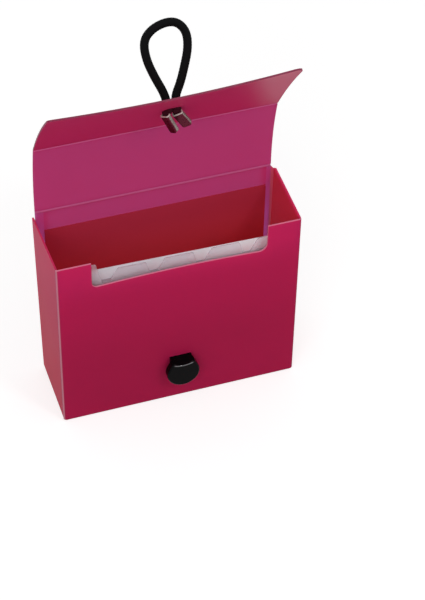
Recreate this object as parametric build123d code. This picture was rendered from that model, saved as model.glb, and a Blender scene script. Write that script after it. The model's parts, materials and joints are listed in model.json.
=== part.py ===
from build123d import *
import os
from math import acos, atan2, cos, degrees, hypot, radians, sin, tan

# A card case folded from one plastic sheet, standing open with its lid up.
# Millimetres. X runs across the front, Y from front to back, Z up.
# The origin is the middle of the base's underside.

# Sheet and folds
sheet = 0.8                 # thickness of the plastic sheet
fold_radius = 1.0           # outside radius of a folded corner
lay_gap = 0.05              # between two sheets that lie on each other
overrun = 1.0               # how far a cut runs past what it cuts

# Case
case_width = 112.2          # outside, across the side panels
case_depth = 36.7           # front face to the back panel's outer face
side_height = 95.2          # top edge of the front and side panels
side_gap = 0.33             # between a side panel and the back panel's edge
side_splay = 1.0            # how far a side panel's rear top corner stands out

# Finger cutout in the front panel
cutout_width = 80.8
cutout_depth = 14.4
cutout_corner = 4.0         # at the right
cutout_corner_left = 2.6
cutout_bow = 1.3            # its lower edge's rise in the middle

# Glued flaps
rear_flap_width = 5.2
rear_flap_foot = 6.0        # above the side panel's lower edge
rear_flap_head = 0.6        # the right fold's end below the side panel's upper edge
rear_flap_head_left = 3.6
rear_flap_run = 1.9         # across the slanted end beside the lid
rear_flap_top = 1.4         # below the lid's turning line
bottom_flap_width = 12.0
bottom_flap_inset = 4.0     # from the side panel's front and rear edges
flap_bevel = 3.0            # cut off each free corner of a flap

# Pressed creases that act as hinges
crease_web = 0.25           # what the press leaves of the sheet
crease_above = 0.3          # from the turning line to the panel that turns
lid_crease_rise = 3.4       # turning line above the side panels

# Lid and lip, with their lean from upright at both ends, in degrees
lid_overhang = 2.65         # how far the closed lid reaches past the front
lid_aside = -0.8            # the lid stands left of the middle, and the back panel leans to meet it
lid_lean_start = -1.6
lid_lean_end = 15.4
lip_length = 49.6
lip_lean_start = 31.7
lip_lean_end_left = 43.9
lip_lean_end_middle = 45.8
lip_lean_end_right = 40.0
lip_corner = 2.0            # at the left
lip_corner_right = 5.0

# Elastic cord, its hole in the lip and its metal ends
cord_diameter = 3.6
strand_spacing = 3.7        # between the two strands at the hole
hole_clearance = 0.2
hole_up_lip = 24.0          # from the lip's crease
hole_aside = 1.8            # right of the middle
cord_stand = 2.2            # straight stretch outside the lip
loop_lean = 35.0            # the loop's lean backwards from upright, degrees
crimp_length = 9.0
crimp_width = 4.8
crimp_depth = 2.3
crimp_wall = 0.4
crimp_corner = 0.8
crimp_end_round = 1.4       # at the far corners
crimp_slit = 0.7
crimp_spacing = 5.3
crimp_aside = -1.25         # middle of the two ends, from the middle of the hole
crimp_axis_inset = 2.6      # from the lip's inner face to the ends' turning line
crimp_stand = 1.8           # from the lip's inner face to the middle of a mouth
crimp_drops = (35.0, 54.0)  # lean towards the lip's crease, degrees
crimp_tilts = (24.0, 32.0)  # lean to the right, degrees
crimp_rolls = (60.0, 18.0)  # turn about the end's own length, degrees

# Catch button on the front panel
button_height = 20.3        # centre of its round head above the base
head_diameter = 15.4
head_flat = 6.7             # flat top above the head's centre
head_flat_width = 10.6
head_thickness = 3.4
head_round = 0.8
neck_width = 10.2
neck_drop = 4.4             # neck's lowest point below the head's centre
neck_length = 2.4
scoop_radius = 12.8
scoop_depth = 1.6           # thumb scoop at the front of the flat top
scoop_round = 0.5
shank_diameter = 5.0
shank_clearance = 0.2
retainer_diameter = 11.0
retainer_thickness = 1.2
press_clearance = 0.05

# Index dividers, the white sheet behind them and the sheet on the back wall
divider_count = 5
divider_sheet = 0.3
divider_gap = 0.2
divider_height = 76.3       # without its tab
divider_side_clearance = 2.1
divider_front_clearance = 0.6
tab_height = 6.9
first_tab_extra = 5.0       # the first tab is the tallest
tab_row_extra = 1.3         # how far the row of tabs and gaps reaches past a divider's sides
tab_row_aside = -0.5        # the row stands left of a divider's middle
tab_gap_foot = 3.4
tab_gap_top = 8.9
tab_corner = 1.2
tab_flare_share = 0.34      # of a gap's widening that its left edge has
index_sheet_thickness = 0.25
index_sheet_height = 82.9
index_sheet_corner = 1.5
backing_thickness = 0.4
backing_height = 85.5
backing_side_clearance = 3.3
divider_tilt = 1.3          # the loose sheets stand on their lower right corners, degrees
index_sheet_tilt = 1.1

# Route of the loop in its own plane: across, and up from where it leaves the lip
loop_route = [
    (-0.7, 4.6), (-3.6, 12.0), (-5.7, 19.6), (-5.5, 26.9), (-1.5, 31.0),
    (4.9, 33.1), (10.3, 32.3), (13.5, 27.6), (12.9, 20.8), (9.9, 13.4),
    (7.2, 7.5), (4.4, 3.0),
]
arc_share = 0.45            # of the shorter run that an arc takes on each side

# Places that follow from the sizes
half_width = case_width / 2
front_face = -case_depth / 2
back_face = case_depth / 2
front_inside = front_face + sheet
back_inside = back_face - sheet
panel_half = half_width - sheet - side_gap
side_foot = sheet + lay_gap
floor_level = side_foot + sheet + lay_gap
rear_face = back_face + lay_gap + sheet
fold_front = front_face + fold_radius
fold_rear = rear_face - fold_radius
crease_below = sheet + lay_gap
crease_level = side_height + lid_crease_rise
lid_length = case_depth + lid_overhang


def plate(low, high):
    """A flat plate between two corners."""
    size = [b - a for a, b in zip(low, high)]
    middle = [(a + b) / 2 for a, b in zip(low, high)]
    return Pos(*middle) * Box(*size)


def corner_section(radius):
    """A quarter of a ring, one sheet thick, in the first quadrant."""
    ring = Circle(radius) - Circle(radius - sheet)
    return ring & Rectangle(radius, radius, align=(Align.MIN, Align.MIN))


def upright(outline, y_low, thickness):
    """A plate from an outline drawn in X and Z, with its front at y_low."""
    return extrude(Plane.XZ.offset(-y_low - thickness) * outline, amount=thickness)


def export(node, solid):
    """Write one node and say how large it is."""
    export_step(solid, f"parts/{node}.step")
    print(f"{node}: {len(solid.solids())} solid(s), {solid.volume:.2f} mm3")


def lean_point(start, lean_start, lean_end, length, reach):
    """Point and lean at a reach along an arc whose lean grows evenly, in Y and Z."""
    growth = radians(lean_end - lean_start) / length
    first = radians(lean_start)
    lean = first + growth * reach
    y = start[0] + (cos(lean) - cos(first)) / growth
    z = start[1] + (sin(lean) - sin(first)) / growth
    return (y, z), lean


def inward(point, lean, distance):
    """A point moved square to the sheet, to its inner side."""
    return (point[0] - distance * cos(lean), point[1] - distance * sin(lean))


def bent_section(arc, first, last, thickness):
    """The cut through a sheet bent along an arc, from one reach to another."""
    stations = [lean_point(*arc, reach) for reach in (first, (first + last) / 2, last)]
    outer = [point for point, lean in stations]
    inner = [inward(point, lean, thickness) for point, lean in stations]
    return make_face([
        ThreePointArc(*outer),
        Line(outer[2], inner[2]),
        ThreePointArc(*reversed(inner)),
        Line(inner[0], outer[0]),
    ])


def bent_sheet(section):
    """A sheet with one cut all along, as wide as the lid."""
    return Pos(lid_aside, 0, 0) * extrude(Plane.YZ * section, amount=panel_half, both=True)


os.makedirs("parts", exist_ok=True)

# Base, front and back
base_panel = plate(
    (-panel_half, fold_front, 0),
    (panel_half, back_face - fold_radius, sheet),
)

lower_fold = Plane.YZ.offset(-panel_half) * corner_section(fold_radius)
lower_fold = extrude(lower_fold, amount=2 * panel_half)
back_fold = Pos(0, back_face - fold_radius, fold_radius) * Rot(-90, 0, 0) * lower_fold
front_fold = Pos(0, fold_front, fold_radius) * Rot(180, 0, 0) * lower_fold

front_half = half_width - fold_radius
front_outline = Polygon(
    (-front_half, fold_radius), (front_half, fold_radius),
    (front_half, side_height), (-front_half, side_height),
    align=None,
)
cutout_foot = side_height - cutout_depth
cutout_half = cutout_width / 2
cutout_top = side_height + overrun
cutout = make_face([
    ThreePointArc((-cutout_half, cutout_foot), (0, cutout_foot + cutout_bow), (cutout_half, cutout_foot)),
    Polyline(
        (cutout_half, cutout_foot), (cutout_half, cutout_top),
        (-cutout_half, cutout_top), (-cutout_half, cutout_foot)),
])
cutout_low = cutout.vertices().group_by(Axis.Y)[0].sort_by(Axis.X)
cutout = fillet(cutout_low[-1], cutout_corner)
cutout_low = cutout.vertices().group_by(Axis.Y)[0].sort_by(Axis.X)
cutout = fillet(cutout_low[0], cutout_corner_left)
button_hole = Pos(0, button_height) * Circle(shank_diameter / 2 + shank_clearance)
front_panel = upright(front_outline - cutout - button_hole, front_face, sheet)
front_panel += front_fold
for hand in (-1, 1):
    turn = 180 if hand < 0 else -90
    corner = Pos(hand * front_half, fold_front, side_foot) * Rot(0, 0, turn)
    upright_fold = extrude(corner_section(fold_radius), amount=side_height - side_foot)
    front_panel += corner * upright_fold

back_top = crease_level - crease_below
back_outline = Polygon(
    (-panel_half, fold_radius), (panel_half, fold_radius),
    (panel_half + lid_aside, back_top), (-panel_half + lid_aside, back_top),
    align=None,
)
back_panel = upright(back_outline, back_inside, sheet) + back_fold

export("base_panel", base_panel)
export("front_panel", front_panel)
export("back_panel", back_panel)

# Side panels: folded from the front panel, glued behind the back panel and on the base
panel_foot = side_foot + fold_radius
flap_low = side_foot + rear_flap_foot
flap_top = crease_level - rear_flap_top


def splay_at(level):
    """How far a side panel's rear edge stands out at a level."""
    return side_splay * (level - panel_foot) / (side_height - panel_foot)


def side_section(level):
    """A side panel's cut at a level, for the right-hand side."""
    out = splay_at(level)
    return Pos(0, 0, level) * Polygon(
        (half_width - sheet, fold_front), (half_width, fold_front),
        (half_width + out, fold_rear), (half_width + out - sheet, fold_rear),
        align=None,
    )


def rear_corner(level):
    """The rear fold's cut at a level, for the right-hand side."""
    shift = half_width - fold_radius + splay_at(level)
    return Pos(shift, fold_rear, level) * corner_section(fold_radius)


def side_and_flap(head):
    """The right-hand side panel and its rear flap, whose fold ends below the side's top."""
    flap_high = side_height - head
    rear_fold = loft([rear_corner(flap_low), rear_corner(flap_high)], ruled=True)
    side = loft([side_section(panel_foot), side_section(side_height)], ruled=True)
    foot_edge = half_width - fold_radius + splay_at(flap_low)
    head_edge = half_width - fold_radius + splay_at(flap_high)
    outline = Polygon(
        (foot_edge, flap_low), (head_edge, flap_high),
        (head_edge - rear_flap_run, flap_top), (head_edge - rear_flap_width, flap_top),
        (foot_edge - rear_flap_width, flap_low + flap_bevel),
        (foot_edge - rear_flap_width + flap_bevel, flap_low),
        align=None,
    )
    flap = extrude(Plane.XZ.offset(-rear_face) * outline, amount=sheet)
    return side + rear_fold + bottom_fold, flap


bottom_fold = Plane.XZ.offset(-fold_rear) * corner_section(fold_radius)
bottom_fold = extrude(bottom_fold, amount=fold_rear - fold_front)
bottom_fold = Pos(half_width - fold_radius, 0, panel_foot) * mirror(bottom_fold, about=Plane.XY)

bottom_length = fold_rear - fold_front - 2 * bottom_flap_inset
bottom_outline = Polygon(
    (0, 0), (0, bottom_length), (flap_bevel - bottom_flap_width, bottom_length),
    (-bottom_flap_width, bottom_length - flap_bevel), (-bottom_flap_width, flap_bevel),
    (flap_bevel - bottom_flap_width, 0),
    align=None,
)
bottom_flap = extrude(bottom_outline, amount=sheet)
bottom_flap = Pos(half_width - fold_radius, fold_front + bottom_flap_inset, side_foot) * bottom_flap

for hand, head in (("left", rear_flap_head_left), ("right", rear_flap_head)):
    pieces = (*side_and_flap(head), bottom_flap)
    for name, piece in zip(("side_panel", "rear_flap", "bottom_flap"), pieces):
        export(f"{hand}_{name}", mirror(piece, about=Plane.YZ) if hand == "left" else piece)

# Lid and lip, with the pressed creases that they turn on
lid_arc = ((back_face, crease_level), lid_lean_start, lid_lean_end, lid_length)
lip_crease_at = lean_point(*lid_arc, lid_length)[0]
lip_arcs = [
    (lip_crease_at, lip_lean_start, lean_end, lip_length)
    for lean_end in (lip_lean_end_left, lip_lean_end_middle, lip_lean_end_right)
]
lip_arc = lip_arcs[1]

lid_crease = plate(
    (lid_aside - panel_half, back_face - crease_web, back_top),
    (lid_aside + panel_half, back_face, crease_level),
)
crease_start = lid_length - crease_below
lid_panel = bent_sheet(bent_section(lid_arc, crease_above, crease_start, sheet))
lip_crease = bent_sheet(bent_section(lid_arc, crease_start, lid_length, crease_web))
lid_lip = loft([
    Plane.YZ.offset(lid_aside + hand * panel_half) * bent_section(arc, crease_above, lip_length, sheet)
    for hand, arc in zip((-1, 0, 1), lip_arcs)
])
lip_middle = lean_point(*lip_arc, lip_length / 2)[0]
for end, radius in ((0, lip_corner), (-1, lip_corner_right)):
    tip_edges = lid_lip.edges().filter_by(lambda edge: abs(edge.length - sheet) < sheet / 2)
    tip_edges = tip_edges.filter_by(lambda edge: edge.center().Z > lip_middle[1])
    lid_lip = fillet(tip_edges.sort_by(Axis.X)[end], radius)

hole_point, hole_lean = lean_point(*lip_arc, hole_up_lip)
outward = Vector(0, cos(hole_lean), sin(hole_lean))
hole_centre = Vector(hole_aside, *hole_point)
hole_plane = Plane(hole_centre, x_dir=(1, 0, 0), z_dir=outward)
hole_size = cord_diameter + 2 * hole_clearance
hole = hole_plane * SlotCenterToCenter(strand_spacing, hole_size)
lid_lip -= extrude(hole, amount=sheet + overrun, both=True)

export("lid_crease", lid_crease)
export("lid_panel", lid_panel)
export("lip_crease", lip_crease)
export("lid_lip", lid_lip)

# Elastic cord: two strands through the hole, a loop outside and two ends in metal
strands = [hole_aside - strand_spacing / 2, hole_aside + strand_spacing / 2]
neck_out = lay_gap
neck_in = sheet + lay_gap
neck_round = extrude(Circle(cord_diameter / 2), amount=neck_in + neck_out)
cord_neck = Compound(children=[
    Plane(Vector(x, *hole_point) - outward * neck_in, x_dir=(1, 0, 0), z_dir=outward) * neck_round
    for x in strands
])

loop_pivot = Vector(0, *hole_point) + outward * cord_stand
loop_up = Vector(0, sin(radians(loop_lean)), cos(radians(loop_lean)))
loop_start = Vector(0, *hole_point) + outward * neck_out
route = [loop_start + Vector(strands[0], 0, 0), loop_pivot + Vector(strands[0], 0, 0)]
route += [loop_pivot + Vector(x, 0, 0) + loop_up * up for x, up in loop_route]
route += [loop_pivot + Vector(strands[1], 0, 0), loop_start + Vector(strands[1], 0, 0)]


def run_radii(points):
    """An arc radius for each inner point of a route."""
    radii = []
    for before, here, after in zip(points, points[1:], points[2:]):
        run_in, run_out = here - before, after - here
        turn = radians(run_in.get_angle(run_out))
        shorter = min(run_in.length, run_out.length)
        radii.append(arc_share * shorter / tan(turn / 2))
    return radii


radii = run_radii(route)
loop_path = FilletPolyline(*route, radius=radii)
loop_mouth = Plane(loop_path @ 0, z_dir=loop_path % 0)
elastic_loop = sweep(loop_mouth * Circle(cord_diameter / 2), path=loop_path)
section_area = Circle(cord_diameter / 2).area
print("loop radii:", " ".join(f"{radius:.1f}" for radius in radii))
print(f"loop length {loop_path.length:.1f} mm, volume share "
      f"{elastic_loop.volume / (section_area * loop_path.length):.4f}")

crimp_outline = RectangleRounded(crimp_width, crimp_depth, crimp_corner)
bore_width = crimp_width - 2 * crimp_wall
bore_depth = crimp_depth - 2 * crimp_wall
crimp_bore = SlotOverall(bore_width, bore_depth)
slit = Pos(0, -crimp_depth / 2) * Rectangle(crimp_slit, crimp_depth)
crimp_shell = extrude(crimp_outline - crimp_bore - slit, amount=crimp_length)
end_profile = Pos(0, crimp_length / 2) * Rectangle(crimp_width, crimp_length)
end_profile = fillet(end_profile.vertices().group_by(Axis.Y)[-1], crimp_end_round)
crimp_shell &= extrude(Plane.XZ * end_profile, amount=crimp_depth, both=True)
end_slot = SlotOverall(bore_width - 2 * press_clearance, bore_depth - 2 * press_clearance)
cord_plug = extrude(end_slot, amount=crimp_length - crimp_end_round)

crimp_axis = hole_centre - outward * (sheet + crimp_axis_inset)
mouth_centre = hole_centre - outward * (sheet + crimp_stand) + Vector(crimp_aside, 0, 0)
mouth_plane = Plane(mouth_centre, x_dir=(1, 0, 0), z_dir=-outward)
crimps = []
plugs = []
for hand, drop, tilt, roll in zip((-1, 1), crimp_drops, crimp_tilts, crimp_rolls):
    seat = mouth_plane * Pos(hand * crimp_spacing / 2, 0, 0) * Rot(drop, tilt, roll)
    crimps.append(seat * crimp_shell)
    plugs.append(seat * cord_plug)

export("elastic_loop", elastic_loop)
export("cord_neck", cord_neck)
export("cord_end_left", plugs[0])
export("cord_end_right", plugs[1])
export("crimp_left", crimps[0])
export("crimp_right", crimps[1])

# Catch button, fixed through the front panel
head_radius = head_diameter / 2
flat_half = head_flat_width / 2
shoulder_turn = acos(min(1, head_radius / hypot(flat_half, head_flat)))
shoulder_at = atan2(head_flat, flat_half) - shoulder_turn
shoulder = (head_radius * cos(shoulder_at), head_radius * sin(shoulder_at))
head_outline = Circle(head_radius) + Polygon(
    (-flat_half, head_flat), (-shoulder[0], shoulder[1]), shoulder, (flat_half, head_flat),
    align=None,
)
head_outline -= Pos(0, head_flat + head_radius) * Rectangle(head_diameter, head_diameter)
neck_outline = Pos(0, neck_width / 2 - neck_drop) * Circle(neck_width / 2)
neck_outline += Pos(0, (head_flat + neck_width / 2 - neck_drop) / 2) * Rectangle(
    neck_width, head_flat - neck_width / 2 + neck_drop)

button_plane = Plane((0, front_face, button_height), x_dir=(1, 0, 0), z_dir=(0, -1, 0))
neck = extrude(neck_outline, amount=neck_length)
head = extrude(Pos(0, 0, neck_length) * head_outline, amount=head_thickness)
shank_length = sheet + retainer_thickness
shank = Pos(0, 0, -shank_length) * extrude(Circle(shank_diameter / 2), amount=shank_length)


def front_edges(solid):
    """The edges of the button's front face, the lowest first."""
    return solid.faces().sort_by(Axis.Z)[-1].edges().sort_by(Axis.Y)


button_reach = neck_length + head_thickness
scoop_fall = degrees(atan2(scoop_depth, button_reach))
scoop_tool = Cylinder(scoop_radius, 2 * button_reach, align=(Align.CENTER, Align.MIN, Align.MIN))
catch_button = neck + head - Pos(0, head_flat, 0) * Rot(scoop_fall, 0, 0) * scoop_tool
catch_button = fillet(front_edges(catch_button)[0], head_round)
catch_button = fillet(front_edges(catch_button)[-1], scoop_round)
catch_button += shank

retainer = Circle(retainer_diameter / 2) - Circle(shank_diameter / 2 + press_clearance)
retainer = extrude(Pos(0, 0, -shank_length) * retainer, amount=retainer_thickness)

export("catch_button", button_plane * catch_button)
export("button_retainer", button_plane * retainer)

# Index dividers with staggered tabs, and the two plain sheets
divider_half = half_width - sheet - divider_side_clearance
tab_pitch = 2 * (divider_half + tab_row_extra) / divider_count
tab_flare = (tab_gap_top - tab_gap_foot) / tab_height
first_divider = front_inside + retainer_thickness + divider_front_clearance
divider_step = divider_sheet + divider_gap


def stood(outline, height, tilt):
    """A loose sheet's outline, drawn down from its upper edge, stood on its lower right corner."""
    top = floor_level + height * cos(radians(tilt)) + divider_half * sin(radians(tilt))
    return Pos(0, top) * Rot(0, 0, -tilt) * outline


for number in range(divider_count):
    rise = tab_height + (first_tab_extra if number == 0 else 0)
    centre = tab_row_aside + (number + 1 / 2 - divider_count / 2) * tab_pitch
    foot_half = (tab_pitch - tab_gap_foot) / 2
    lean_right = tab_flare * tab_flare_share * rise
    lean_left = tab_flare * (1 - tab_flare_share) * rise
    tab = Pos(centre, 0) * Polygon(
        (-foot_half, 0), (foot_half, 0),
        (foot_half - lean_right, rise), (lean_left - foot_half, rise),
        align=None,
    )
    tab = fillet(tab.vertices().group_by(Axis.Y)[-1], tab_corner)
    body = Pos(0, -divider_height / 2) * Rectangle(2 * divider_half, divider_height)
    outline = stood(body + tab, divider_height, divider_tilt)
    divider = upright(outline, first_divider + number * divider_step, divider_sheet)
    export(f"divider_{number + 1}", divider)

index_outline = Pos(0, -index_sheet_height / 2) * RectangleRounded(
    2 * divider_half, index_sheet_height, index_sheet_corner)
index_outline = stood(index_outline, index_sheet_height, index_sheet_tilt)
index_front = first_divider + divider_count * divider_step
export("index_sheet", upright(index_outline, index_front, index_sheet_thickness))

backing_half = half_width - sheet - backing_side_clearance
backing_sheet = plate(
    (-backing_half, back_inside - lay_gap - backing_thickness, floor_level),
    (backing_half, back_inside - lay_gap, floor_level + backing_height),
)
export("backing_sheet", backing_sheet)

print(f"lid crease at y {back_face:.3f} z {crease_level:.3f}")
print(f"lip crease at y {lip_crease_at[0]:.3f} z {lip_crease_at[1]:.3f}")
print(f"loop turns at {tuple(round(v, 3) for v in loop_pivot)}")
print(f"crimps turn at {tuple(round(v, 3) for v in crimp_axis)}")
print(f"floor {floor_level:.3f}, first divider {first_divider:.3f}, index sheet {index_front:.3f}")
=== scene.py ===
# %% [markdown]
# A folding card case in pink plastic
#
# This lesson dresses a card case that is cut and folded from one translucent sheet.
# The solids come in as a fixed frame, in metres, and are never moved.
# We give them finishes, and we rebuild the soft and bending pieces as meshes:
# the elastic cord and the two pressed creases.

# %% Load the solids
import json
from math import cos, pi, radians, sin

import bmesh
import bpy
from mathutils import Matrix, Vector


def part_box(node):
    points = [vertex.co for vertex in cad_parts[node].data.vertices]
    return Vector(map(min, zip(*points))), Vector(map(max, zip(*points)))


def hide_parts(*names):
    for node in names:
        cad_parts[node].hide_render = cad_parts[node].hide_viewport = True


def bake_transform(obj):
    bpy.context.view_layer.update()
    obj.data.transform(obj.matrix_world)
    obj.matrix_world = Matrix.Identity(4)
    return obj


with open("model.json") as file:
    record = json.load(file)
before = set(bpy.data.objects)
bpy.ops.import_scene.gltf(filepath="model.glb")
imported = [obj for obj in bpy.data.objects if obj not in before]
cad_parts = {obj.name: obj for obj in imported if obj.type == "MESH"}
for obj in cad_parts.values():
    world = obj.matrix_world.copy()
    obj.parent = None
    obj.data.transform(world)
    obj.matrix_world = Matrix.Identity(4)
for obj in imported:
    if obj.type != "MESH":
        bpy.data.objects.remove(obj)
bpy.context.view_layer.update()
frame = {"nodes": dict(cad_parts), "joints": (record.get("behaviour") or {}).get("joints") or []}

nodes = frame["nodes"]
joints = {joint["name"]: joint for joint in frame["joints"]}
millimetre = 0.001
print("solids:", len(nodes), "joints:", len(joints))

# %% [markdown]
# The camera
#
# The picture looks down on the case from the front, a little from the left, through a long lens.
# A camera could be aimed by hand with a Track To constraint.
# Here its direction is two angles and a small roll, so the numbers can be read and changed.

# %% Set the camera
camera_place = Vector((-0.18800, -0.59773, 0.65684))
camera_azimuth = radians(-19.34)
camera_elevation = radians(44.33)
camera_roll = radians(1.33)
picture_height = 600
focal_pixels = 1908.0
right_pixels, down_pixels = 0.5, 0.8
sensor = 36.0

backward = Vector((
    sin(camera_azimuth) * cos(camera_elevation),
    -cos(camera_azimuth) * cos(camera_elevation),
    sin(camera_elevation),
))
level = Vector((0, 0, 1)).cross(backward).normalized()
upward = backward.cross(level)
across = cos(camera_roll) * level + sin(camera_roll) * upward
above = cos(camera_roll) * upward - sin(camera_roll) * level

camera = bpy.data.objects.new("camera", bpy.data.cameras.new("camera"))
camera.data.sensor_width = sensor
camera.data.lens = focal_pixels * sensor / picture_height
camera.data.shift_x = -right_pixels / picture_height
camera.data.shift_y = down_pixels / picture_height
turn = Matrix((across, above, backward)).transposed().to_4x4()
camera.matrix_world = Matrix.Translation(camera_place) @ turn
bpy.context.collection.objects.link(camera)
bpy.context.scene.camera = camera
print(f"camera: lens {camera.data.lens:.1f} mm, {camera_place.length / millimetre:.0f} mm away")

# %% [markdown]
# Wires for shader sums
#
# Shader graphs are easier to read as sums than as boxes.
# One small class wraps a socket, and its operators add Math nodes.
# Every other node comes from its one method, which takes settings first and then inputs.


# %% Define the wire
class Wire:
    """A shader socket that can stand in a sum."""

    def __init__(self, tree, socket=None):
        self.tree = tree
        self.socket = socket

    def node(self, kind, settings=None, inputs=None, output=0):
        """Add a node: its settings first, then the values or links of its inputs."""
        made = self.tree.nodes.new(kind)
        for name, value in (settings or {}).items():
            setattr(made, name, value)
        for name, value in (inputs or {}).items():
            if isinstance(value, Wire):
                self.tree.links.new(value.socket, made.inputs[name])
            else:
                made.inputs[name].default_value = value
        return Wire(self.tree, made.outputs[output] if made.outputs else None)

    def math(self, operation, *values):
        return self.node("ShaderNodeMath", {"operation": operation}, dict(enumerate(values)))

    def __add__(self, other):
        return self.math("ADD", self, other)

    def __sub__(self, other):
        return self.math("SUBTRACT", self, other)

    def __rsub__(self, other):
        return self.math("SUBTRACT", other, self)

    def __mul__(self, other):
        return self.math("MULTIPLY", self, other)

    def __abs__(self):
        return self.math("ABSOLUTE", self)

    __radd__ = __add__
    __rmul__ = __mul__

    def most(self, other):
        """The larger of two wires."""
        return self.math("MAXIMUM", self, other)

    def smooth(self, low, high):
        """0 below low, 1 above high, and an even slope between."""
        return self.node(
            "ShaderNodeMapRange",
            {"interpolation_type": "SMOOTHSTEP"},
            {"Value": self, "From Min": low, "From Max": high},
        )

    def near(self, value, reach):
        """1 at a value, and falling to 0 within a reach of it."""
        return 1 - abs(self - value).smooth(0, reach)

    def blend(self, first, second):
        """The first colour where this wire is 0, the second where it is 1."""
        return self.node(
            "ShaderNodeMix", {"data_type": "RGBA"}, {0: self, 6: first, 7: second}, output=2)


print("wire ready")

# %% [markdown]
# Colours and coordinates
#
# Colours are easiest to pick as screen values, and shaders want them linear.
# Patterns use object coordinates, which are the frame's own metres,
# so a grain keeps its real size and stays put when a panel swings.


# %% Define colours
def paint(red, green, blue):
    """A linear colour from screen values of 0 to 255."""
    linear = []
    for value in (red, green, blue):
        share = value / 255
        linear.append(share / 12.92 if share <= 0.04045 else ((share + 0.055) / 1.055) ** 2.4)
    return (*linear, 1.0)


print("mid grey is", round(paint(128, 128, 128)[0], 3), "in linear light")


# %% Define a finish
class Finish(Wire):
    """A material that is being made, with its coordinates at hand."""

    def __init__(self, name):
        self.material = bpy.data.materials.new(name)
        self.material.use_nodes = True
        super().__init__(self.material.node_tree)
        self.tree.nodes.clear()
        self.place = self.node("ShaderNodeTexCoord", output="Object")
        self.facing = self.node("ShaderNodeTexCoord", output="Normal")

    def parts(self, vector):
        """The three components of a vector wire."""
        made = self.node("ShaderNodeSeparateXYZ", inputs={0: vector}).socket.node
        return [Wire(self.tree, made.outputs[axis]) for axis in range(3)]

    def along(self, direction):
        """How squarely the surface looks along a direction, either way, from 0 to 1."""
        dot = self.node(
            "ShaderNodeVectorMath", {"operation": "DOT_PRODUCT"},
            {0: self.facing, 1: direction}, output="Value")
        return abs(dot)

    def ahead(self, start, direction):
        """How far a point lies ahead of a start, in metres."""
        offset = self.node(
            "ShaderNodeVectorMath", {"operation": "SUBTRACT"}, {0: self.place, 1: start})
        return self.node(
            "ShaderNodeVectorMath", {"operation": "DOT_PRODUCT"},
            {0: offset, 1: direction}, output="Value")

    def noise(self, size, detail=2.0, roughness=0.5, stretch=(1, 1, 1)):
        """Cloudy noise whose lumps are about one size, in metres."""
        scaled = self.node(
            "ShaderNodeVectorMath", {"operation": "MULTIPLY"}, {0: self.place, 1: stretch})
        return self.node(
            "ShaderNodeTexNoise", {},
            {"Vector": scaled, "Scale": 1 / size, "Detail": detail, "Roughness": roughness})

    def relief(self, height, depth, strength=1.0):
        """A bump from a height wire, with its depth in metres."""
        return self.node(
            "ShaderNodeBump", {}, {"Height": height, "Distance": depth, "Strength": strength})

    def skin(self, **inputs):
        """A shader whose inputs are given by name."""
        named = {key.replace("_", " "): value for key, value in inputs.items()}
        return self.node("ShaderNodeBsdfPrincipled", inputs=named)

    def end(self, shader):
        """Put a shader on the surface, and hand the material over."""
        self.node("ShaderNodeOutputMaterial", inputs={"Surface": shader})
        return self.material


print("finishes ready")


# %% Define how pieces are dressed and seen
def wear(obj, material):
    """Give an object one material."""
    obj.data.materials.clear()
    obj.data.materials.append(material)
    return obj


def looked_at(wire):
    """1 for rays from the eye, in a reflection or through glass, and 0 for light's own rays."""
    path = wire.node("ShaderNodeLightPath").socket.node
    rays = [f"Is {ray} Ray" for ray in ("Camera", "Glossy", "Transmission")]
    eye, mirror, glass = [Wire(wire.tree, path.outputs[ray]) for ray in rays]
    return eye.most(mirror.most(glass))


print("dressing ready")

# %% [markdown]
# The floor
#
# The case stands on a plain white sweep.
# A white background could be bought with more light, but that would wash the pink out.
# So the floor only adds a little glow for the rays that look at it, and keeps the soft shadow.

# %% Build the floor
floor_size = 6.0
floor_drop = 0.2 * millimetre
floor_glow = 0.66
floor_shade = 0.55
floor_colour = (floor_shade, floor_shade, floor_shade, 1)

floor_mesh = bpy.data.meshes.new("floor")
half = floor_size / 2
corners = [(-half, -half, 0), (half, -half, 0), (half, half, 0), (-half, half, 0)]
floor_mesh.from_pydata(corners, [], [(0, 1, 2, 3)])
floor = bpy.data.objects.new("floor", floor_mesh)
floor.location.z = -floor_drop
bpy.context.collection.objects.link(floor)

sweep = Finish("white_sweep")
dark = sweep.node("ShaderNodeEmission", inputs={"Strength": 0.0})
glow = sweep.node("ShaderNodeEmission", inputs={"Strength": floor_glow})
glow = sweep.node("ShaderNodeMixShader", inputs={0: looked_at(sweep), 1: dark, 2: glow})
matte = sweep.node("ShaderNodeBsdfDiffuse", inputs={"Color": floor_colour})
wear(floor, sweep.end(sweep.node("ShaderNodeAddShader", inputs={0: matte, 1: glow})))
print("floor:", floor_size, "m wide")

# %% [markdown]
# The light
#
# The picture has flat, soft light: a bright room, a large soft lamp and a small one.
# The small lamp draws the thin highlights on the button and the metal.
# One lamp alone would leave the inside of the case too dark.

# %% Light the room
sky_strength = 0.5
world = bpy.data.worlds.new("sky")
bpy.context.scene.world = world
world.use_nodes = True
sky = Wire(world.node_tree)
world.node_tree.nodes.clear()
room = sky.node("ShaderNodeBackground", inputs={"Strength": sky_strength})
white = sky.node("ShaderNodeBackground", inputs={"Strength": 1.0})
for wire in (room, white):
    wire.socket.node.inputs["Color"].default_value = (1, 1, 1, 1)
shown = sky.node("ShaderNodeMixShader", inputs={0: looked_at(sky), 1: room, 2: white})
sky.node("ShaderNodeOutputWorld", inputs={"Surface": shown})
print("sky strength:", sky_strength)


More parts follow.
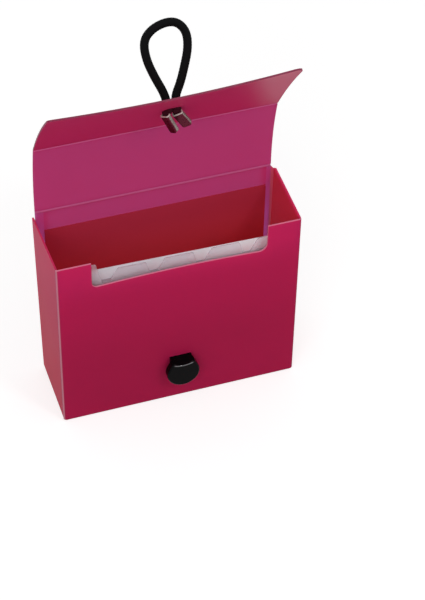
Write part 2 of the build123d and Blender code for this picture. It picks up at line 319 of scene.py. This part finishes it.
# %% Set the lamps
def softbox(name, place, aim, width, power):
    """A square lamp that faces a point."""
    lamp = bpy.data.objects.new(name, bpy.data.lights.new(name, "AREA"))
    lamp.data.size = width
    lamp.data.energy = power
    lamp.location = place
    lamp.rotation_euler = (Vector(aim) - Vector(place)).to_track_quat("-Z", "Y").to_euler()
    bpy.context.collection.objects.link(lamp)
    return lamp


case_middle = (0, 0, 0.07)
softbox("key_light", place=(-0.6, -0.9, 0.85), aim=case_middle, width=0.7, power=4.2)
softbox("spark_light", place=(0.45, -0.75, 0.9), aim=case_middle, width=0.2, power=1.9)
bpy.context.scene.view_settings.view_transform = "Standard"
print("lamps set")

# %% [markdown]
# The elastic loop's line
#
# The loop is a round elastic that passes through a slot in the lip and stands up behind it.
# Its line is a NURBS spline over a given route, so it has no kinks.
# Straight runs with rounded corners would look like bent wire.

# %% Lay out the route
cord_radius = 1.8 * millimetre
loop_pivot = Vector(joints["loop_swing"]["pos_m"])
crimp_pivot = Vector(joints["left_end_swing"]["pos_m"])
slot_out = (loop_pivot - crimp_pivot).normalized()
slot_up = Vector((1, 0, 0)).cross(slot_out)
slot_middle = loop_pivot.x
strand_offset = 1.85 * millimetre
cord_stand = 2.2 * millimetre
loop_lean = radians(35)
loop_up = Vector((0, sin(loop_lean), cos(loop_lean)))
loop_route = [
    (-0.7, 4.6), (-3.6, 12.0), (-5.7, 19.6), (-5.5, 26.9), (-1.5, 31.0),
    (4.9, 33.1), (10.3, 32.3), (13.5, 27.6), (12.9, 20.8), (9.9, 13.4),
    (7.2, 7.5), (4.4, 3.0),
]

loop_turn = Vector((0, loop_pivot.y, loop_pivot.z))
lip_face = loop_turn - slot_out * cord_stand
strands = [slot_middle - strand_offset, slot_middle + strand_offset]
left_start, right_start = [lip_face + Vector((x, 0, 0)) for x in strands]
left_turn, right_turn = [loop_turn + Vector((x, 0, 0)) for x in strands]
bow = [
    loop_turn + Vector((x * millimetre, 0, 0)) + loop_up * (up * millimetre)
    for x, up in loop_route
]
route = [left_start, left_turn, *bow, right_turn, right_start]
print("route points:", len(route))


# %% Draw the spline
def spline_points(points, steps=32):
    """Points along a smooth spline whose control points are given."""
    curve = bpy.data.curves.new("route", "CURVE")
    curve.dimensions = "3D"
    line = curve.splines.new("NURBS")
    line.points.add(len(points) - 1)
    for spot, point in zip(line.points, points):
        spot.co = (*point, 1)
    line.order_u = 3
    line.use_endpoint_u = True
    line.resolution_u = steps
    holder = bpy.data.objects.new("route", curve)
    mesh = bpy.data.meshes.new_from_object(holder)
    found = [vertex.co.copy() for vertex in mesh.vertices]
    bpy.data.objects.remove(holder)
    bpy.data.meshes.remove(mesh)
    bpy.data.curves.remove(curve)
    return found


loop_line = spline_points(route)

# %% [markdown]
# The braided cover
#
# The elastic's cover is a braid of black yarn, and its carriers cross over and under each other.
# A bump map would leave the outline smooth, so the braid is raised in the mesh itself.
# Each ring's radius follows two families of helices, and the upper one wins.


# %% Shape the braid
def braid_height(angle, along, carriers, lay):
    """Height of a braid's strands, 0 in the gaps and 1 on the crowns."""
    first = (carriers * angle + lay * along) / 2
    second = (carriers * angle - lay * along) / 2
    over = sin(first) * sin(second) > 0
    return abs(cos(first)) if over else abs(cos(second))


def carried_frames(points, side):
    """For each point, the way ahead and a side that turns no more than it must."""
    frames = []
    ahead = (points[1] - points[0]).normalized()
    side = (side - ahead * side.dot(ahead)).normalized()
    for index in range(len(points)):
        before = points[max(index - 1, 0)]
        after = points[min(index + 1, len(points) - 1)]
        turned = (after - before).normalized()
        side = ahead.rotation_difference(turned) @ side
        ahead = turned
        frames.append((ahead, side))
    return frames


print("braid ready")


# %% Define a skin over rings
def skinned(name, tube, rings):
    """A smooth object whose skin runs over closed rings of points, with both ends shut."""
    sides = len(rings[0])
    for low, high in zip(rings, rings[1:]):
        for step in range(sides):
            after = (step + 1) % sides
            tube.faces.new((low[step], low[after], high[after], high[step]))
    tube.faces.new(reversed(rings[0]))
    tube.faces.new(rings[-1])
    for face in tube.faces:
        face.smooth = True
    mesh = bpy.data.meshes.new(name)
    tube.to_mesh(mesh)
    tube.free()
    obj = bpy.data.objects.new(name, mesh)
    bpy.context.collection.objects.link(obj)
    return obj


print("skin ready")


# %% Define a braided tube
def braided_tube(name, points, radii, side, end_side=None, carriers=9, sides=54):
    """A closed tube with a braid raised on it, whose two radii are functions of the share done."""
    relief, mean_share = 0.15 * millimetre, 0.6
    lay = carriers / cord_radius
    frames = carried_frames(points, side)
    twist = 0.0
    if end_side is not None:
        ahead, carried = frames[-1]
        wanted = Vector((end_side.dot(carried), end_side.dot(ahead.cross(carried))))
        twist = wanted.angle_signed(Vector((1, 0)), 0.0)
    tube = bmesh.new()
    rings, along = [], 0.0
    for index, (point, (ahead, side)) in enumerate(zip(points, frames)):
        share = index / (len(points) - 1)
        side = Matrix.Rotation(twist * share, 3, ahead) @ side
        other = ahead.cross(side)
        along += (point - points[max(index - 1, 0)]).length
        wide, deep = radii(share)
        ring = []
        for step in range(sides):
            angle = 2 * pi * step / sides
            sunk = relief * (mean_share - braid_height(angle, along, carriers, lay))
            offset = (wide - sunk) * cos(angle) * side + (deep - sunk) * sin(angle) * other
            ring.append(tube.verts.new(point + offset))
        rings.append(ring)
    return skinned(name, tube, rings)


print("tube ready")


# %% Sweep the loop
def round_radii(share):
    """Round all along."""
    return cord_radius, cord_radius


elastic = braided_tube("elastic_cord", loop_line, round_radii, slot_up)
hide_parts("elastic_loop")
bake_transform(elastic)
print("elastic faces:", len(elastic.data.polygons))

# %% [markdown]
# The strands through the slot
#
# Inside the lip each strand bends over into the mouth of a metal end, where it is squeezed flat.
# The same tube does it, with a width and a depth that change on the way.
# These stretches run across the joint on which the metal ends swing.

# %% Measure the metal ends
sheet = 0.8 * millimetre
crimp_spacing = 5.3 * millimetre
crimp_aside = -1.25 * millimetre
crimp_stand = 1.8 * millimetre
squeezed = (1.92 * millimetre, 0.67 * millimetre)
squeezed_length = 7.2 * millimetre
squeezed_from_share = 0.45
mouth_gap = 0.4 * millimetre
print("squeezed to", [round(2 * size / millimetre, 2) for size in squeezed], "mm")


# %% Sweep the two strands
def strand_radii(share):
    """Round at the slot and squeezed flat from about the mouth on."""
    done = min(share / squeezed_from_share, 1.0)
    done = done * done * (3 - 2 * done)
    return [cord_radius + (size - cord_radius) * done for size in squeezed]


ends = {
    "left": {"side": -1, "start": left_start, "drop": 35.0, "tilt": 24.0, "roll": 60.0},
    "right": {"side": 1, "start": right_start, "drop": 54.0, "tilt": 32.0, "roll": 18.0},
}
lip_axes = Matrix((Vector((1, 0, 0)), slot_up, -slot_out)).transposed()
mouth_middle = lip_face - slot_out * (sheet + crimp_stand)
mouth_middle.x = slot_middle + crimp_aside
mouths = {}
for hand, end in ends.items():
    start = end["start"]
    mouth = mouth_middle + Vector((end["side"] * crimp_spacing / 2, 0, 0))
    turned = lip_axes
    for turn, axis in (("drop", "X"), ("tilt", "Y"), ("roll", "Z")):
        turned = turned @ Matrix.Rotation(radians(end[turn]), 3, axis)
    wide_side, inward = turned.col[0], turned.col[2]
    mouths[hand] = (mouth, inward)
    inner_face = start - slot_out * sheet
    before_mouth = mouth - inward * mouth_gap
    line = spline_points([start, inner_face, before_mouth, mouth + inward * squeezed_length])
    strand = braided_tube(
        f"strand_{hand}", line, strand_radii, Vector((1, 0, 0)), end_side=wide_side)
    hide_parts("cord_neck", f"cord_end_{hand}")
    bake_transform(strand)
    print(strand.name, "mouth at", tuple(round(v / millimetre, 1) for v in mouth))

# %% [markdown]
# The braid's finish
#
# The cover is black polyester yarn. It is nearly matt, with slightly greyer fibres here and there.
# A plain black would hide the braid, so a fine noise breaks up its colour and its gloss.
# Behind the lip the strands are painted a second, dark red tone, a painted reflection of the pink
# sheet and painted shade.

# %% Finish the braid
def braid_finish(name, low, high):
    """Matt yarn between two tones."""
    yarn = Finish(name)
    fuzz = yarn.noise(0.15 * millimetre, detail=4.0)
    return yarn.end(yarn.skin(
        Base_Color=fuzz.smooth(0.35, 0.75).blend(low, high),
        Roughness=0.62 + 0.2 * fuzz,
        Normal=yarn.relief(fuzz, 0.03 * millimetre, 0.6),
        Specular_IOR_Level=0.08,
    ))


wear(elastic, braid_finish("black_braid", paint(6, 6, 7), paint(16, 16, 17)))
painted_pink_shade_braid = braid_finish("painted_pink_shade_braid", paint(52, 10, 23), paint(64, 14, 29))
for hand in ends:
    wear(bpy.data.objects[f"strand_{hand}"], painted_pink_shade_braid)
print("braid finished")

# %% [markdown]
# The pink sheet
#
# The sheet is frosted polypropylene, less than a millimetre thick.
# Some light goes straight through it, so the lid and the back wall glow from behind.
# Glass would be too clear, so each face is a mix of a satin skin and a translucent one.
# A cut edge is painted paler than the face, as a painted highlight, or darker, as painted shade,
# and a sharp fold is stretched and whitened.

# %% Choose the sheet's colours
sheet_colour = paint(217, 36, 90)
sheet_deep = paint(212, 34, 86)
# The pale and dark edge colours are painted highlights and painted shade on the cut edges.
painted_edge_highlight = paint(236, 120, 150)
painted_rim_highlight = paint(252, 196, 228)
painted_rim_shade = paint(96, 14, 44)
fold_white_and_highlight = paint(255, 205, 218)
crease_white = paint(246, 150, 206)
# Each panel passes its own colour, as painted light and shade from behind it: clear on the lid and
# the back, which the room lights, deep red on the front, base and sides, and darker on the lip.
clear_through = (0.72, 0.45, 0.8, 1)
deep_through = (0.95, 0.2, 0.3, 1)
lip_through = (0.72, 0.2, 0.45, 1)
glued_through = (1.0, 0.72, 0.82, 1)
inner_through = (0.86, 0.26, 0.27, 1)
usual_share = 0.38
print("translucent share of the sheet:", usual_share)


# %% Define the pink sheet
def plain_pink(pink, cloud):
    """One pink, a little cloudy."""
    return cloud.blend(sheet_deep, sheet_colour)


def pink_sheet(
        name, faces, through, edge=0.3, share=usual_share, gloss=0.06, body=plain_pink,
        edge_colour=painted_edge_highlight, stretched=None, stretched_colour=fold_white_and_highlight):
    """The sheet's finish for panels whose faces look along a direction."""
    pink = Finish(name)
    cloud = pink.noise(26 * millimetre, detail=1.0)
    grain = pink.noise(0.25 * millimetre, detail=2.0)
    cut = 1 - pink.along(faces).smooth(0.3, 0.65)
    # Cut edges take the edge colour: a painted highlight or painted shade.
    colour = (cut * edge).blend(body(pink, cloud), edge_colour)
    if stretched:
        colour = stretched(pink).blend(colour, stretched_colour)
    satin = pink.skin(
        Base_Color=colour,
        Roughness=0.36 + 0.08 * cloud,
        Normal=pink.relief(grain, 0.01 * millimetre, 0.3),
        Specular_IOR_Level=gloss,
    )
    milk = pink.node("ShaderNodeBsdfTranslucent", inputs={"Color": through})
    factor = share(pink) if callable(share) else share
    both = pink.node("ShaderNodeMixShader", inputs={0: factor, 1: satin, 2: milk})
    return pink.end(both)


print("pink sheet ready")

# %% [markdown]
# Where the sheet changes
#
# A sheet that lets light through shows what stands behind it, so no two panels are quite alike;
# most of that is painted into the colour here, as painted light and shade.
# A picture could be painted for each panel, but it would fit only one size.
# Here each change is a short function of the place on the panel, and the places that must
# line up with another piece are measured on the solids.

# %% Paint light and shade on the front and the sides
front_low, front_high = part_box("front_panel")
front_shade_fade = (30 * millimetre, 75 * millimetre)
front_painted_glow = (68 * millimetre, 90 * millimetre)
left_sheen_fade = (10 * millimetre, 90 * millimetre)
right_rim = 3.5 * millimetre
painted_glow_share = 0.8


def front_painted_light_and_shade(pink, cloud):
    """Painted shade deeper toward the foot, and painted light near the rim, for the pale sheets
    behind it.
    """
    z = pink.parts(pink.place)[2]
    lower = cloud.blend(paint(194, 38, 91), paint(200, 39, 96))
    upper = z.smooth(*front_shade_fade).blend(lower, paint(211, 40, 102))
    return (z.smooth(*front_painted_glow) * painted_glow_share).blend(upper, paint(222, 46, 118))


def left_painted_sheen(pink, cloud):
    """Cooler and paler toward the rim, a painted sheen."""
    z = pink.parts(pink.place)[2]
    lower = cloud.blend(paint(213, 16, 80), paint(218, 20, 84))
    return z.smooth(*left_sheen_fade).blend(lower, paint(217, 54, 114))


def right_pink(pink, cloud):
    """Brighter along the rim, where light enters at the cut edge."""
    z = pink.parts(pink.place)[2]
    rim = z.smooth(front_high.z - right_rim, front_high.z)
    return (rim * painted_glow_share).blend(plain_pink(pink, cloud), paint(246, 48, 130))


print(f"front panel: {front_high.z / millimetre:.1f} mm high")

# %% Whiten the front's folds
fold_inset = 0.3 * millimetre
fold_reach = 0.38 * millimetre
# The left fold's extra whiteness is a painted highlight, on top of its stretching.
left_whitening_and_highlight, right_whitening = 0.7, 0.15


def front_folds(pink):
    """The front panel's two upright folds, whitened by stretching, and the left far more by a
    painted highlight.
    """
    x = pink.parts(pink.place)[0]
    left = x.near(front_low.x + fold_inset, fold_reach)
    right = x.near(front_high.x - fold_inset, fold_reach)
    return (left * left_whitening_and_highlight).most(right * right_whitening)


print(f"folds whitened over {2 * fold_reach / millimetre:.2f} mm")

# %% Let light through the wall and the flaps
lid_low, lid_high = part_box("lid_panel")
back_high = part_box("back_panel")[1]
card_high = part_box("backing_sheet")[1]
back_half = (lid_high.x - lid_low.x) / 2
back_lean = (back_half - lid_high.x) / back_high.z
line_width = 0.2 * millimetre
wall_fade = (66 * millimetre, 96 * millimetre)
beside_gain, low_gain = 0.18, 0.16
glued_share, corner_share = 0.92, 0.25


def wall_share(pink):
    """The back wall lets more light through beside the sheet that stands on it."""
    place = pink.parts(pink.place)
    beside = abs(place[0]).smooth(card_high.x - line_width, card_high.x + line_width)
    low = 1 - place[2].smooth(*wall_fade)
    return usual_share + beside_gain * beside + low_gain * (beside * low)


def flap_share(pink):
    """Clear where a flap is glued to the back wall, and milky at the open corner."""
    place = pink.parts(pink.place)
    corner = abs(place[0] + back_lean * place[2]).smooth(back_half - line_width, back_half)
    return glued_share - (glued_share - corner_share) * corner


print(f"back wall: {2 * back_half / millimetre:.1f} mm wide")

# %% Finish the panels
along_x, along_y, along_z = (1, 0, 0), (0, 1, 0), (0, 0, 1)
lip_faces = (0, slot_out.y, slot_out.z)
side_gloss = 0.09
sheets = {
    "front": pink_sheet(
        "pink_front", along_y, deep_through, edge=0.7, body=front_painted_light_and_shade, edge_colour=painted_rim_highlight,
        stretched=front_folds),
    "base": pink_sheet("pink_base", along_z, deep_through),
    "back": pink_sheet("pink_back", along_y, clear_through, share=wall_share),
    "lid": pink_sheet("pink_lid", along_y, clear_through),
    "lip": pink_sheet(
        "pink_lip", lip_faces, lip_through, edge=0.9, gloss=0.5, edge_colour=painted_rim_shade),
    "left": pink_sheet(
        "pink_left", along_x, deep_through, edge=0.05, gloss=side_gloss, body=left_painted_sheen),
    "right": pink_sheet(
        "pink_right", along_x, inner_through, edge=0.05, gloss=side_gloss, body=right_pink),
    "flap": pink_sheet("pink_flap", along_y, glued_through, edge=0.0, share=flap_share),
}
for panel in ("front", "base", "back", "lid"):
    wear(nodes[f"{panel}_panel"], sheets[panel])
wear(nodes["lid_lip"], sheets["lip"])
for hand in ("left", "right"):
    wear(nodes[f"{hand}_side_panel"], sheets[hand])
    wear(nodes[f"{hand}_rear_flap"], sheets["flap"])
    wear(nodes[f"{hand}_bottom_flap"], sheets["base"])
print("pink sheets:", len(sheets))

# %% [markdown]
# The pressed creases
#
# The lid and the lip turn on lines where the sheet is pressed thin.
# Two rigid halves would part when the lid closes, so each crease is one strip of mesh
# across its joint. Its section is full at both ends and thin in the middle,
# with the groove inside, where a pressing rule would leave it.

# %% Shape a crease
crease_below = 0.85 * millimetre
crease_above = 0.3 * millimetre
crease_web = 0.3 * millimetre
crease_steps = 16


def crease_section(pivot, below_lean, above_lean):
    """Pairs of outer and inner points, from below a crease to above it."""
    pairs = []
    for step in range(crease_steps + 1):
        share = step / crease_steps
        reach = share * (crease_below + crease_above) - crease_below
        lean = below_lean if reach < 0 else above_lean
        outer = Vector((0, -sin(lean), cos(lean))) * reach
        eased = share * share * (3 - 2 * share)
        lean = below_lean + (above_lean - below_lean) * eased
        depth = crease_web + (sheet - crease_web) * abs(2 * share - 1) ** 1.5
        inner = outer - Vector((0, cos(lean), sin(lean))) * depth
        pairs.append((pivot + outer, pivot + inner))
    return pairs


def strip_mesh(name, pairs, left, right):
    """A closed strip with the same section from end to end."""
    strip = bmesh.new()
    rows = [
        [strip.verts.new((x, point.y, point.z)) for x in (left, right) for point in pair]
        for pair in pairs
    ]
    for a, b in zip(rows, rows[1:]):
        strip.faces.new((a[0], a[2], b[2], b[0]))
        strip.faces.new((a[1], b[1], b[3], a[3]))
        strip.faces.new((a[0], b[0], b[1], a[1]))
        strip.faces.new((a[2], a[3], b[3], b[2]))
    first, last = rows[0], rows[-1]
    strip.faces.new((first[0], first[1], first[3], first[2]))
    strip.faces.new((last[0], last[2], last[3], last[1]))
    bmesh.ops.recalc_face_normals(strip, faces=strip.faces)
    mesh = bpy.data.meshes.new(name)
    strip.to_mesh(mesh)
    strip.free()
    return mesh


print("crease web:", round(crease_web / millimetre, 2), "mm")


# %% Build the creases
def crease_strip(name, node, joint, below_lean, above_lean):
    """A strip across a joint, between the panel below it and the panel above it."""
    low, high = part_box(node)
    pairs = crease_section(Vector(joints[joint]["pos_m"]), below_lean, above_lean)
    strip = bpy.data.objects.new(name, strip_mesh(name, pairs, low.x, high.x))
    bpy.context.collection.objects.link(strip)
    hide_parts(node)
    start, end = [sum(pair, Vector()) / 2 for pair in (pairs[0], pairs[-1])]
    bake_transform(strip)
    return strip


wall_lean = 0.0
lid_start_lean, lid_end_lean = radians(-1.6), radians(15.4)
lip_lean = radians(31.7)
lid_fold = crease_strip(
    "lid_fold", "lid_crease", "lid_hinge", wall_lean, lid_start_lean)
lip_fold = crease_strip(
    "lip_fold", "lip_crease", "lip_hinge", lid_end_lean, lip_lean)
print("creases:", lid_fold.name, lip_fold.name)


# %% Finish the creases
def crease_pink(name, whitening):
    """The sheet's finish where it is pressed thin, and so whitened all along."""

    def pressed(pink):
        return whitening + 0.12 * pink.noise(3 * millimetre)

    return pink_sheet(
        name, along_y, clear_through, edge=0.0, stretched=pressed, stretched_colour=crease_white)


wear(lid_fold, crease_pink("pink_lid_fold", 0.36))
wear(lip_fold, crease_pink("pink_lip_fold", 0.42))
print("creases finished")

# %% [markdown]
# The button
#
# The catch is moulded in black plastic, smooth enough for a sharp light along its scoop.
# Fresnel gloss on a near-black colour gives that, and a faint wave keeps it from looking machined.
# The scoop's lip is painted greyer, a painted highlight that shows even where no lamp is mirrored
# in it.

# %% Finish the button
scoop_reach = 5.4 * millimetre
scoop_depth = 1.2 * millimetre
button_low, button_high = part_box("catch_button")
button_middle = (button_low + button_high) / 2

moulded = Finish("black_button")
wave = moulded.noise(1.4 * millimetre, detail=3.0)
facing_up = moulded.parts(moulded.facing)[2]
x, y = moulded.parts(moulded.place)[:2]
# The scoop's upper rim gets a painted highlight in grey, and the same strip also gets a clear
# coat.
painted_highlight_rim = facing_up.smooth(0.25, 0.45) * (1 - facing_up.smooth(0.8, 0.95))
painted_highlight_rim = painted_highlight_rim * abs(x - button_middle.x).near(0, scoop_reach).smooth(0, 0.2)
painted_highlight_rim = painted_highlight_rim * y.near(button_low.y, scoop_depth).smooth(0, 0.2)
moulded.end(moulded.skin(
    Base_Color=painted_highlight_rim.blend(wave.blend(paint(4, 4, 5), paint(8, 8, 9)), paint(104, 104, 106)),
    Roughness=0.16 + 0.08 * wave,
    Normal=moulded.relief(wave, 0.02 * millimetre, 0.2),
    Coat_Weight=painted_highlight_rim,
    Coat_Roughness=0.08,
    Specular_IOR_Level=0.045,
))
for name in ("catch_button", "button_retainer"):
    wear(nodes[name], moulded.material)
print("button finished")

# %% [markdown]
# The metal ends
#
# The cord's ends are pressed from thin plated steel, a little dull, with fine streaks.
# A mirror would show only the pink around it, so the plating is part metal and part grey,
# with painted light and shade: painted pale on the faces that look up and to the right,
# painted dark red on those that look down, and a painted highlight on the rolled rim of the mouth.


# %% Finish the metal ends
def plated_steel(name, mouth, inward):
    """Plated sheet steel, with a painted highlight on the rolled rim at the mouth."""
    rim_start, rim_end = 0.25 * millimetre, 0.6 * millimetre
    plated = Finish(name)
    streak = plated.noise(0.5 * millimetre, detail=3.0)
    patch = streak.smooth(0.3, 0.7)
    rim = 1 - plated.ahead(mouth, inward).smooth(rim_start, rim_end)
    facing = plated.parts(plated.facing)
    # Painted light on faces that look up and to the right, painted shade in dark red on the rest.
    lit = (facing[0] + 0.5 * facing[2]).smooth(0.05, 0.6)
    shaded = patch.blend(paint(74, 8, 30), paint(98, 16, 42))
    bright = patch.blend(paint(112, 98, 96), paint(158, 146, 140))
    return plated.end(plated.skin(
        Base_Color=rim.blend(lit.blend(shaded, bright), paint(214, 204, 198)),
        Metallic=0.55 - 0.2 * rim,
        Roughness=0.22 + 0.12 * streak,
        Specular_IOR_Level=0.15,
    ))


for hand, (mouth, inward) in mouths.items():
    wear(nodes[f"crimp_{hand}"], plated_steel(f"plated_{hand}", mouth, inward))
print("metal finished")

# %% [markdown]
# The dividers
#
# Each divider is frosted film, which softens what lies behind it and stays greyish itself.
# Real refraction would be slow and noisy in five thin layers, so the film is partly see-through,
# and a share of it passes light on, or the stack would grow dark toward the back.
# Its cut edges are less clear, and they draw the thin outlines of the tabs.

# %% Finish the film
painted_light_rightward = (-20 * millimetre, 45 * millimetre)
passed_share = 0.28

film = Finish("frosted_film")
haze = film.noise(7 * millimetre, detail=2.0)
# The film is painted paler toward the right, as painted light.
right = film.parts(film.place)[0].smooth(*painted_light_rightward)
cut = 1 - film.along(along_y).smooth(0.3, 0.7)
grey = haze.blend(paint(226, 222, 228), paint(232, 227, 233))
skin = film.skin(
    Base_Color=cut.blend(right.blend(grey, paint(250, 249, 251)), paint(166, 142, 153)),
    Roughness=0.4 + 0.1 * haze,
    Alpha=0.2 + 0.5 * cut,
    Specular_IOR_Level=0.2,
)
onward = film.node("ShaderNodeBsdfTranslucent", inputs={"Color": (0.9, 0.88, 0.91, 1)})
film.end(film.node("ShaderNodeMixShader", inputs={0: passed_share, 1: skin, 2: onward}))
dividers = [name for name in nodes if name.startswith("divider_")]
for name in dividers:
    wear(nodes[name], film.material)
print("film on", len(dividers), "dividers")

# %% [markdown]
# Paper and card
#
# The sheet behind the tabs is plain white paper, and the sheet on the back wall is coloured card.
# Paper has no gloss to speak of, and a fibrous tooth that shows only close up.
# Both are painted paler, as painted light: the paper to the right, the card low down.

# %% Finish the paper
paper = Finish("white_paper")
fibre = paper.noise(0.6 * millimetre, detail=5.0, stretch=(0.3, 1, 1))
# Painted light: the paper is paler toward the right.
right = paper.parts(paper.place)[0].smooth(*painted_light_rightward)
paper_white = fibre.blend(paint(216, 214, 221), paint(226, 224, 230))
paper.end(paper.skin(
    Base_Color=right.blend(paper_white, paint(246, 246, 250)),
    Roughness=0.8 + 0.1 * fibre,
    Normal=paper.relief(fibre, 0.02 * millimetre, 0.3),
    Specular_IOR_Level=0.1,
))
wear(nodes["index_sheet"], paper.material)
print("paper finished")

# %% Finish the card
card_light_fade = (45 * millimetre, 85 * millimetre)
card = Finish("red_card")
tooth = card.noise(0.8 * millimetre, detail=5.0)
# Painted light: the card is paler and redder low down.
low = 1 - card.parts(card.place)[2].smooth(*card_light_fade)
red = tooth.blend(paint(180, 44, 68), paint(186, 48, 72))
card.end(card.skin(
    Base_Color=low.blend(red, paint(228, 62, 74)),
    Roughness=0.6 + 0.15 * tooth,
    Normal=card.relief(tooth, 0.02 * millimetre, 0.3),
    Specular_IOR_Level=0.1,
))
wear(nodes["backing_sheet"], card.material)
print("card finished")
